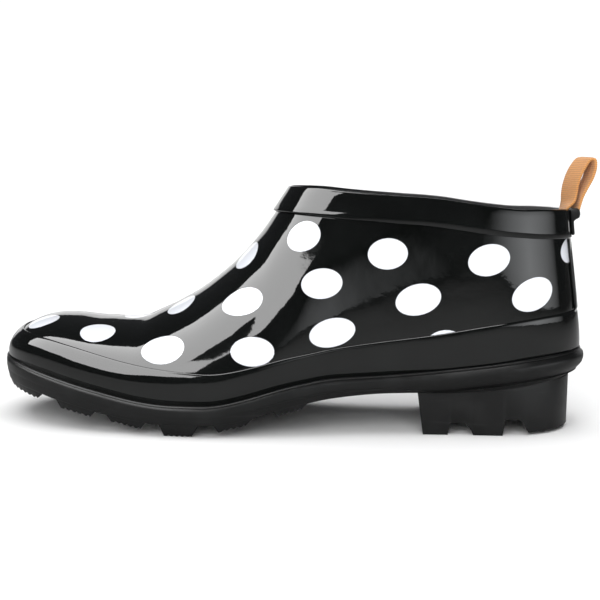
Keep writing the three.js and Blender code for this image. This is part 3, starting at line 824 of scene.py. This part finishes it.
def webbing_cloth(finish, groups):
    """Woven strap: cross ribs follow the strap's own map, with fine threads along them; the colour's
    dark and light stripes, one pair per rib, are painted rib shade and highlight.
    """
    material, tree, shader = new_material("Woven webbing")
    place = put(tree, "ShaderNodeTexCoord")
    grit = put(
        tree,
        "ShaderNodeGroup",
        {"Vector": place.outputs["Object"], "Scale": 2600.0},
        node_tree=groups["grain"],
    )
    # Alternate dark and light stripes along the strap, one pair per rib, are painted shade and
    # highlight of the ribs in the colour.
    rib_shade_map = put(tree, "ShaderNodeMapping", {"Vector": place.outputs["UV"], "Scale": (136.0, 0.5, 1.0)})
    rib_shade_stripes = put(tree, "ShaderNodeTexChecker", {"Vector": rib_shade_map.outputs["Vector"], "Scale": 1.0})
    tone = blend_colours(
        tree, rib_shade_stripes.outputs["Fac"], shade_of(finish.webbing, 0.7), shade_of(finish.webbing, 1.15)
    )
    tone = blend_colours(tree, grit.outputs["Height"], shade_of(finish.webbing, 0.62), tone)
    tree.links.new(tone, shader.inputs["Base Color"])
    rough = put(
        tree, "ShaderNodeMapRange", {"Value": grit.outputs["Height"], "To Min": 0.7, "To Max": 0.95}
    )
    tree.links.new(rough.outputs["Result"], shader.inputs["Roughness"])
    bump = put(
        tree, "ShaderNodeBump", {"Height": grit.outputs["Height"], "Distance": 0.00018, "Strength": 0.9}
    )
    tree.links.new(bump.outputs["Normal"], shader.inputs["Normal"])
    shader.inputs["Sheen Weight"].default_value = 0.25
    shader.inputs["Sheen Roughness"].default_value = 0.5
    return material


def knitted_lining(finish, groups, name, colour, pitch=900.0):
    """A dark knitted cloth for the inside and the footbed."""
    material, tree, shader = new_material(name)
    place = put(tree, "ShaderNodeTexCoord").outputs["Object"]
    knit = put(tree, "ShaderNodeTexVoronoi", {"Vector": place, "Scale": pitch, "Randomness": 0.35})
    dust = put(tree, "ShaderNodeGroup", {"Vector": place, "Scale": 35.0}, node_tree=groups["dust"])
    tone = blend_colours(tree, knit.outputs["Distance"], shade_of(colour, 1.25), shade_of(colour, 0.5))
    tone = blend_colours(tree, dust.outputs["Dust"], tone, shade_of(colour, 1.5))
    tree.links.new(tone, shader.inputs["Base Color"])
    rough = put(
        tree, "ShaderNodeMapRange", {"Value": knit.outputs["Distance"], "To Min": 0.8, "To Max": 0.95}
    )
    tree.links.new(rough.outputs["Result"], shader.inputs["Roughness"])
    bump = put(
        tree,
        "ShaderNodeBump",
        {"Height": knit.outputs["Distance"], "Distance": 0.0003, "Strength": 0.7},
    )
    bump.invert = True
    tree.links.new(bump.outputs["Normal"], shader.inputs["Normal"])
    shader.inputs["Sheen Weight"].default_value = 0.15
    return material


MATERIALS = {}


def material_for(key):
    """The finish of that name, made when it is first asked for."""
    if not MATERIALS:
        finish = bpy.context.scene.boot_finish
        groups = {"grain": grain_group(), "dust": dust_group()}
        MATERIALS.update(
            dotted=gloss_rubber(finish, groups, "Dotted gloss rubber", dots=True),
            gloss=gloss_rubber(finish, groups, "Gloss rubber"),
            matte=matte_rubber(finish, groups, "Matte sole rubber"),
            tab=matte_rubber(finish, groups, "Satin tab rubber", grain=700.0, depth=0.00003),
            webbing=webbing_cloth(finish, groups),
            lining=knitted_lining(finish, groups, "Knitted lining", finish.lining),
            footbed=knitted_lining(finish, groups, "Footbed cloth", finish.footbed, pitch=650.0),
        )
    return MATERIALS[key]


class BootSizes(bpy.types.PropertyGroup):
    """Thicknesses and details that may be changed."""

    wall: FloatProperty(
        name="Wall", description="Thickness of the upper's wall", default=0.002, unit="LENGTH"
    )
    foxing: FloatProperty(
        name="Foxing", description="How far the foxing stands out", default=0.0018, unit="LENGTH"
    )
    band: FloatProperty(
        name="Band", description="How far the collar band stands out", default=0.0017, unit="LENGTH"
    )
    stay: FloatProperty(
        name="Back strip",
        description="How far the back strip stands out",
        default=0.0013,
        unit="LENGTH",
    )
    bead: FloatProperty(
        name="Bead", description="Height of the bead on the sole's edge", default=0.0007, unit="LENGTH"
    )
    tooth: FloatProperty(
        name="Tooth", description="Height of the teeth under a lug", default=0.0008, unit="LENGTH"
    )
    strap: FloatProperty(
        name="Strap", description="Thickness of the pull loop", default=0.0016, unit="LENGTH"
    )
    rib: FloatProperty(
        name="Rib", description="Distance between the strap's ribs", default=0.00095, unit="LENGTH"
    )
    dot: FloatProperty(
        name="Dot size", description="Size of the dots as a share", default=0.965, subtype="FACTOR"
    )


class BootFinish(bpy.types.PropertyGroup):
    """Colours and gloss."""

    rubber: FloatVectorProperty(
        name="Rubber",
        description="Colour of the glossy rubber",
        default=(0.0035, 0.004, 0.0038),
        subtype="COLOR",
    )
    dot: FloatVectorProperty(
        name="Dots", description="Colour of the dots", default=(0.76, 0.78, 0.83), subtype="COLOR"
    )
    sole: FloatVectorProperty(
        name="Sole",
        description="Colour of the matte rubber",
        default=(0.0048, 0.005, 0.005),
        subtype="COLOR",
    )
    webbing: FloatVectorProperty(
        name="Webbing",
        description="Colour of the pull loop",
        default=(0.66, 0.29, 0.075),
        subtype="COLOR",
    )
    lining: FloatVectorProperty(
        name="Lining",
        description="Colour of the lining",
        default=(0.014, 0.014, 0.015),
        subtype="COLOR",
    )
    footbed: FloatVectorProperty(
        name="Footbed", description="Colour of the insole", default=(0.03, 0.03, 0.032), subtype="COLOR"
    )
    gloss: FloatProperty(
        name="Gloss", description="Roughness of the glossy rubber", default=0.045, subtype="FACTOR"
    )


class BootStudio(bpy.types.PropertyGroup):
    """The light and the floor."""

    key: FloatProperty(name="Key", description="Radiance of the long soft box", default=8.5)
    back: FloatProperty(name="Back", description="Radiance of the low soft box behind", default=1.2)
    fill: FloatProperty(
        name="Fill", description="Radiance of the fading sheet by the heel", default=3.8
    )
    sun: FloatProperty(name="Overhead", description="Strength of the light from above", default=2.8)
    front: FloatProperty(name="Front", description="Strength of the light from the front", default=3.2)
    floor: FloatVectorProperty(
        name="Floor", description="Colour of the floor", default=(0.9, 0.9, 0.9), subtype="COLOR"
    )


def mark_dots(obj, scale):
    """Stores each point's distance from the edge of the nearest dot, less than nothing inside it."""
    count = len(obj.data.vertices)
    places, normals = np.empty(count * 3), np.empty(count * 3)
    obj.data.vertices.foreach_get("co", places)
    obj.data.vertices.foreach_get("normal", normals)
    places, normals = places.reshape(-1, 3), normals.reshape(-1, 3)
    outward = normals.copy()
    nearest = np.full(count, 0.01)
    for x, y, z, tilt, long_way, short_way in OUTER_DOTS + TOP_DOTS + inner_dots():
        away = places - (x, y, z)
        k = int(
            np.argmin(
                np.linalg.norm(away, axis=1) + 0.02 * (np.sign(outward @ (0, np.sign(y), 0.5)) < 0)
            )
        )
        out = outward[k]
        run = np.array([math.cos(math.radians(tilt)), 0, math.sin(math.radians(tilt))])
        run -= out * (run @ out)
        run /= np.linalg.norm(run)
        off = places - places[k]
        u, v = off @ run / (long_way * scale), off @ np.cross(out, run) / (short_way * scale)
        gap = (np.hypot(u, v) - 1) * short_way
        nearest = np.where(np.abs(off @ out) < 0.011, np.minimum(nearest, gap), nearest)
    places = places - SHIFT
    under_band = band_low(along_at(places[:, 0]), places[:, 1]) + 0.004
    nearest = np.where(places[:, 2] > under_band, 0.01, nearest)
    layer = obj.data.attributes.new("dot", "FLOAT", "POINT")
    layer.data.foreach_set("value", nearest)


def inner_dots():
    """The hidden side's dots: the outer side's, mirrored and moved along a little."""
    moved = []
    for x, y, z, tilt, long_way, short_way in OUTER_DOTS:
        moved.append((x - 0.011, -y, z + 0.002, tilt, long_way, short_way))
    return moved


class BOOT_OT_upper(bpy.types.Operator):
    """Two grids laid on the last, joined along the ridge and given a wall"""

    bl_idname = "boot.upper"
    bl_label = "Upper"

    def execute(self, context):
        sizes = context.scene.boot_sizes
        obj = join([laid_grid("Upper", upper_rows(side)) for side in (-1, 1)])
        close_up(obj)
        for key in ("dotted", "lining"):
            obj.data.materials.append(material_for(key))
        apply(
            obj,
            "SOLIDIFY",
            thickness=sizes.wall,
            offset=-1,
            use_quality_normals=True,
            material_offset=1,
        )
        apply(
            obj, "BEVEL", width=0.0006, segments=3, limit_method="ANGLE", angle_limit=math.radians(60)
        )
        slots = np.empty(len(obj.data.polygons), int)
        obj.data.polygons.foreach_get("material_index", slots)
        finish_piece(obj, "upper", [material_for("dotted"), material_for("lining")])
        obj.data.polygons.foreach_set("material_index", slots)
        mark_dots(obj, sizes.dot)
        return {"FINISHED"}


class BOOT_OT_trim(bpy.types.Operator):
    """The foxing, the collar band and the strip up the back"""

    bl_idname = "boot.trim"
    bl_label = "Foxing, band and back strip"

    def execute(self, context):
        sizes = context.scene.boot_sizes
        gap, out = SEAT_GAP, sizes.foxing
        profile = [
            (0, gap), (0, out * 0.8), (0.02, out), (0.2, out * 0.97), (0.4, out * 0.9), (0.6, out * 0.8)
        ]
        profile += [
            (0.8, out * 0.68), (0.93, out * 0.6), (0.97, out * 0.54), (0.99, out * 0.4), (1, out * 0.2)
        ]
        profile += [(0.985, gap), (0.5, gap)]
        base = lambda a, y: sole_top(a) + CLEAR
        foxing = girdle_piece("Foxing", base, lambda a, y: foxing_top(a), profile, 300)
        finish_piece(foxing, "foxing", [material_for("gloss")])
        out = sizes.band
        profile = [
            (0, gap), (0, out * 0.72), (0.01, out * 0.9), (0.035, out), (0.25, out), (0.5, out),
            (0.75, out),
        ]
        profile += [
            (0.93, out), (0.965, out * 0.94), (0.99, out * 0.76), (1.003, out * 0.45), (1.0, gap),
            (0.5, gap),
        ]
        band = girdle_piece("Collar_band", band_low, collar_top, profile, 240)
        finish_piece(band, "collar_band", [material_for("gloss")])
        out = sizes.stay
        levels = [0, 0.2, 0.4, 0.6, 0.8, 1]
        profile = [(t, out) for t in levels] + [(t, gap) for t in levels[::-1]]
        low, high = (lambda a, y: foxing_top(a) + 0.0002), (lambda a, y: band_low(a, y) - 0.0002)
        strip = back_piece("Back_strip", low, high, profile, STAY_WIDTH, 25, 0.0004)
        finish_piece(strip, "back_stay", [material_for("gloss")])
        return {"FINISHED"}


class BOOT_OT_sole(bpy.types.Operator):
    """The outsole with its toothed lugs, and the notched heel"""

    bl_idname = "boot.sole"
    bl_label = "Outsole and heel"

    def execute(self, context):
        sizes = context.scene.boot_sizes
        body = plan_stack("Outsole", rim_levels(sizes.bead))
        lugs = []
        for start, end, front, back in LUGS:
            floor_lug = front > 1
            lug = across_slab(
                "Lug", lug_profile(start, end, front, back, sizes.tooth * (0.6 if floor_lug else 1))
            )
            low = lambda a: sole_under(a) - LUG_DEPTH - 0.001
            high = lambda a: sole_under(a) + 0.001
            plan = plan_stack(
                "Plan", [(side_inset, 0, high), (lambda a: side_inset(a) + LUG_LEAN, 0, low)], 120
            )
            carve(lug, plan, "INTERSECT")
            apply(
                lug,
                "BEVEL",
                width=0.00022,
                segments=2,
                limit_method="ANGLE",
                angle_limit=math.radians(35),
            )
            lugs.append(lug)
        outsole = join([body] + lugs)
        finish_piece(outsole, "outsole", [material_for("matte")], angle=50)
        heel = across_slab("Heel", heel_profile())
        levels = [(lambda a: HEEL_INSET - 0.0006 + 0 * a, HEEL_SETBACK, lambda a: 0.04 + 0 * a)]
        levels.append((lambda a: HEEL_INSET + 0 * a, HEEL_SETBACK, lambda a: -0.02 + 0 * a))
        carve(heel, plan_stack("Plan", levels), "INTERSECT")
        apply(
            heel, "BEVEL", width=0.0006, segments=3, limit_method="ANGLE", angle_limit=math.radians(35)
        )
        finish_piece(heel, "heel", [material_for("matte")], angle=50)
        return {"FINISHED"}


class BOOT_OT_pull(bpy.types.Operator):
    """The woven pull loop and the keeper that holds it"""

    bl_idname = "boot.pull"
    bl_label = "Pull loop and keeper"

    def execute(self, context):
        sizes = context.scene.boot_sizes
        seat, stem, block = 0.00175, 0.0015, 0.0046
        high = BLOCK_HEIGHT / BAND_HEIGHT
        top = 1 - high
        profile = [
            (0.08, seat), (0.08, seat + stem * 0.7), (0.11, seat + stem), (0.3, seat + stem),
            (top - 0.05, seat + stem),
        ]
        profile += [
            (top, seat + block * 0.55), (top + 0.06, seat + block * 0.9), (top + 0.16, seat + block)
        ]
        profile += [
            (0.86, seat + block), (0.95, seat + block * 0.93), (1.0, seat + block * 0.72), (1.0, seat),
            (0.5, seat),
        ]
        tab = back_piece("Keeper", band_low, collar_top, profile, TAB_WIDTH, 21, 0.0006)
        finish_piece(tab, "loop_tab", [material_for("tab")])
        finish_piece(self.strap(sizes), "pull_loop", [material_for("webbing")], angle=80)
        return {"FINISHED"}

    def strap(self, sizes):
        """A flat ribbed strap swept along its path and turned as it rises."""
        points = [(x - SHIFT[0], turn * 0.001, z) for x, z, turn in LOOP]
        coarse = smooth_path(points, 400)
        length = np.linalg.norm(np.diff(coarse[:, (0, 2)], axis=0), axis=1).sum()
        steps = int(length / sizes.rib * 8)
        path = smooth_path(points, steps)
        run = np.gradient(path, axis=0) * (1, 0, 1)
        run /= np.linalg.norm(run, axis=1, keepdims=True)
        turn = np.radians(path[:, 1] * 1000 * LOOP_TURN)
        wide = np.stack([-np.sin(turn), np.cos(turn), 0 * turn], axis=1)
        thick_way = np.cross(wide, run)
        thick_way /= np.linalg.norm(thick_way, axis=1, keepdims=True)
        middle = path * (1, 0, 1)
        rib = 1 - 0.16 * (0.5 - 0.5 * np.cos(np.arange(steps + 1) * math.tau / 8))
        rows = []
        for corner in np.linspace(0, math.tau, 41):
            c, s = math.cos(corner), math.sin(corner)
            w = math.copysign(abs(c) ** 0.25, c) * LOOP_WIDTH / 2
            t = math.copysign(abs(s) ** 0.45, s) * sizes.strap / 2
            rows.append(
                middle + wide * w * (0.985 + 0.015 * rib[:, None]) + thick_way * (t * rib)[:, None]
            )
        obj = laid_grid("Pull_loop", rows)
        close_up(obj, holes=True)
        return obj


class BOOT_OT_insole(bpy.types.Operator):
    """A cupped footbed inside the upper"""

    bl_idname = "boot.insole"
    bl_label = "Insole"

    def execute(self, context):
        inset = context.scene.boot_sizes.wall + 0.0006
        reach = 0.5 * inset / LENGTH
        span = FINAL - FIRST - 2 * reach
        shares = FIRST + reach + span * (1 - np.cos(np.linspace(0.12, math.pi - 0.12, 111))) / 2
        rows = []
        for t in np.linspace(-1, 1, 41):
            side = -1 if t < 0 else 1
            s = half_section(shares, side)
            z = sole_top(shares) + CLEAR + INSOLE_THICK * (0.82 + 0.18 * t**4)
            edge = y_on_last(shares, side, z)
            middle = centre_line(shares) * BALL_WIDTH
            y = middle + (edge - side * inset * 1.3 - middle) * abs(t)
            rows.append(np.stack([leaned_x(shares, z), y, z], axis=1))
        obj = laid_grid("Insole", rows)
        close_up(obj)
        if sum(face.normal.z for face in obj.data.polygons) < 0:
            obj.data.flip_normals()
        apply(obj, "SOLIDIFY", thickness=INSOLE_THICK * 0.8, offset=-1)
        apply(
            obj, "BEVEL", width=0.0005, segments=2, limit_method="ANGLE", angle_limit=math.radians(60)
        )
        finish_piece(obj, "insole", [material_for("footbed")])
        return {"FINISHED"}


class BOOT_OT_studio(bpy.types.Operator):
    """The floor, the lights, the background and the camera"""

    bl_idname = "boot.studio"
    bl_label = "Studio"

    def execute(self, context):
        studio = context.scene.boot_studio
        self.floor(studio)
        self.background(context.scene)
        key = (-0.66, -0.30, 0.69)
        self.soft_box("Key", key, 1.0, (-0.11, 0.275), (0.92, 1.45), studio.key)
        self.soft_box("Key wing", key, 1.0, (0.825, -0.285), (0.95, 0.33), studio.key)
        self.soft_box("Key joint", key, 1.0, (0.485, 0.03), (0.27, 0.3), studio.key)
        self.soft_box("Back", (0.05, 1, 0.1), 1.6, (0, 0), (2.6, 0.45), studio.back)
        self.glow((0.77, -0.64, 0.03), 1.1, (1.05, 0.6), studio.fill)
        self.soft_sun("Overhead", (0, 0, 1), studio.sun, 70)
        self.soft_sun("Front", (-0.15, -1, 0.36), studio.front, 60)
        self.camera(context)
        return {"FINISHED"}

    def floor(self, studio):
        deselect()
        bpy.ops.mesh.primitive_plane_add(size=12, location=(0, 0, -0.0001))
        obj = bpy.context.object
        obj.name = "Floor"
        bpy.ops.object.transform_apply(location=True)
        material, tree, shader = new_material("Studio floor")
        place = put(tree, "ShaderNodeTexCoord").outputs["Object"]
        noise = put(tree, "ShaderNodeTexNoise", {"Vector": place, "Scale": 8.0})
        colour = blend_colours(
            tree, noise.outputs["Fac"], shade_of(studio.floor, 0.995), shade_of(studio.floor, 1)
        )
        # Glossy rays see the floor grey near the boot and nearly black further out. This is painted
        # shade on the floor that shows only in its reflections.
        path = put(tree, "ShaderNodeLightPath")
        far = put(tree, "ShaderNodeVectorMath", {0: place}, operation="LENGTH")
        fade = put(
            tree,
            "ShaderNodeMapRange",
            {"Value": far.outputs["Value"], "From Min": 0.3, "From Max": 1.1},
        )
        mirrored = blend_colours(
            tree, fade.outputs["Result"], shade_of(studio.floor, 0.5), shade_of(studio.floor, 0.05)
        )
        colour = blend_colours(tree, path.outputs["Is Glossy Ray"], colour, mirrored)
        tree.links.new(colour, shader.inputs["Base Color"])
        shader.inputs["Roughness"].default_value = 0.9
        shader.inputs["Specular IOR Level"].default_value = 0.0
        obj.data.materials.append(material)

    def background(self, scene):
        world = scene.world or bpy.data.worlds.new("Studio")
        scene.world = world
        world.use_nodes = True
        tree = world.node_tree
        tree.nodes.clear()
        path = put(tree, "ShaderNodeLightPath")
        dim = put(tree, "ShaderNodeBackground", {"Color": (0.9, 0.93, 1.0, 1), "Strength": 0.05})
        pale = put(tree, "ShaderNodeBackground", {"Color": (1, 1, 1, 1), "Strength": 1.05})
        mix = put(
            tree,
            "ShaderNodeMixShader",
            {0: path.outputs["Is Camera Ray"], 1: dim.outputs[0], 2: pale.outputs[0]},
        )
        put(tree, "ShaderNodeOutputWorld", {"Surface": mix.outputs[0]})
        scene.view_settings.view_transform = "Standard"

    def soft_box(self, name, way, distance, offset, size, radiance):
        """A rectangular light in a plane that lies out in a direction from the boot and faces it."""
        light = bpy.data.lights.new(name, "AREA")
        light.shape, light.size, light.size_y = "RECTANGLE", size[0], size[1]
        light.energy = radiance * math.pi * size[0] * size[1]
        obj = bpy.data.objects.new(name, light)
        bpy.context.collection.objects.link(obj)
        away = Vector(way).normalized()
        across = Vector((0, 0, 1)).cross(away).normalized()
        upward = away.cross(across)
        place = away * distance + across * offset[0] + upward * offset[1] + Vector((0, 0, LIGHT_HEIGHT))
        turn = Matrix((across, upward, away)).transposed().to_4x4()
        obj.matrix_world = Matrix.Translation(place) @ turn
        obj.visible_camera = obj.visible_diffuse = False

    def glow(self, way, distance, half, radiance):
        """A sheet by the heel whose light fades from its middle to its edge."""
        deselect()
        bpy.ops.mesh.primitive_plane_add(size=2)
        obj = bpy.context.object
        obj.name = obj.data.name = "Glow"
        material, tree, shader = new_material("Fading light")
        place = put(tree, "ShaderNodeTexCoord").outputs["Object"]
        fade = put(tree, "ShaderNodeTexGradient", {"Vector": place}, gradient_type="SPHERICAL")
        strength = put(
            tree, "ShaderNodeMath", {0: fade.outputs["Fac"], 1: radiance}, operation="MULTIPLY"
        )
        tree.links.new(strength.outputs["Value"], shader.inputs["Emission Strength"])
        shader.inputs["Emission Color"].default_value = (0.96, 0.98, 1, 1)
        shader.inputs["Base Color"].default_value = (0, 0, 0, 1)
        shader.inputs["Specular IOR Level"].default_value = 0.0
        obj.data.materials.append(material)
        away = Vector(way).normalized()
        across = Vector((0, 0, 1)).cross(away).normalized()
        turn = Matrix((across, away.cross(across), away)).transposed().to_4x4()
        place = Matrix.Translation(away * distance + Vector((0, 0, LIGHT_HEIGHT)))
        obj.matrix_world = place @ turn @ Matrix.Diagonal((*half, 1, 1))
        obj.visible_camera = obj.visible_diffuse = obj.visible_shadow = False

    def soft_sun(self, name, way, strength, spread):
        """A broad light from a direction that the gloss doesn't mirror."""
        light = bpy.data.lights.new(name, "SUN")
        light.energy, light.angle = strength, math.radians(spread)
        obj = bpy.data.objects.new(name, light)
        bpy.context.collection.objects.link(obj)
        obj.matrix_world = Vector(way).to_track_quat("Z", "Y").to_matrix().to_4x4()
        obj.visible_glossy = False

    def camera(self, context):
        """The photograph's angle: a little towards the heel, looking slightly down."""
        away, height, turned, roll = 0.660, 0.1489, math.radians(3.76), math.radians(0.416)
        aim, focal, middle_pixel = Vector((0, 0, 0.05805)), 1369.0, 296.6
        place = Vector((away * math.sin(turned), -away * math.cos(turned), height))
        ahead = (aim - place).normalized()
        right = ahead.cross(Vector((0, 0, 1))).normalized()
        up = right.cross(ahead)
        level_right, level_up = right, up
        right = level_right * math.cos(roll) + level_up * math.sin(roll)
        up = level_up * math.cos(roll) - level_right * math.sin(roll)
        place += right * (FRAME_PIXELS / 2 - middle_pixel) / focal * (aim - place).length
        camera = bpy.data.cameras.new("Camera")
        camera.sensor_width = 36
        camera.lens = focal * camera.sensor_width / FRAME_PIXELS
        camera.clip_start, camera.clip_end = 0.01, 60
        obj = bpy.data.objects.new("Camera", camera)
        context.collection.objects.link(obj)
        turn = Matrix((right, up, -ahead)).transposed().to_4x4()
        obj.matrix_world = Matrix.Translation(place) @ turn
        context.scene.camera = obj


STEPS = (BOOT_OT_upper, BOOT_OT_trim, BOOT_OT_sole, BOOT_OT_pull, BOOT_OT_insole, BOOT_OT_studio)


class BOOT_PT_panel(bpy.types.Panel):
    """Lists the sizes, the finishes and the steps"""

    bl_idname = "BOOT_PT_panel"
    bl_label = "Rubber boot"
    bl_space_type = "VIEW_3D"
    bl_region_type = "UI"
    bl_category = "Boot"

    def draw(self, context):
        scene = context.scene
        for group in (scene.boot_sizes, scene.boot_finish, scene.boot_studio):
            box = self.layout.box()
            for key in group.bl_rna.properties.keys():
                if key not in ("rna_type", "name"):
                    box.prop(group, key)
        for step in STEPS:
            self.layout.operator(step.bl_idname)


CLASSES = (BootSizes, BootFinish, BootStudio) + STEPS + (BOOT_PT_panel,)


def register():
    for kind in CLASSES:
        bpy.utils.register_class(kind)
    bpy.types.Scene.boot_sizes = PointerProperty(type=BootSizes)
    bpy.types.Scene.boot_finish = PointerProperty(type=BootFinish)
    bpy.types.Scene.boot_studio = PointerProperty(type=BootStudio)


def unregister():
    del bpy.types.Scene.boot_studio
    del bpy.types.Scene.boot_finish
    del bpy.types.Scene.boot_sizes
    for kind in reversed(CLASSES):
        bpy.utils.unregister_class(kind)


def main():
    register()
    bpy.ops.boot.upper()
    bpy.ops.boot.trim()
    bpy.ops.boot.sole()
    bpy.ops.boot.pull()
    bpy.ops.boot.insole()
    bpy.ops.boot.studio()


if __name__ == "__main__":
    main()
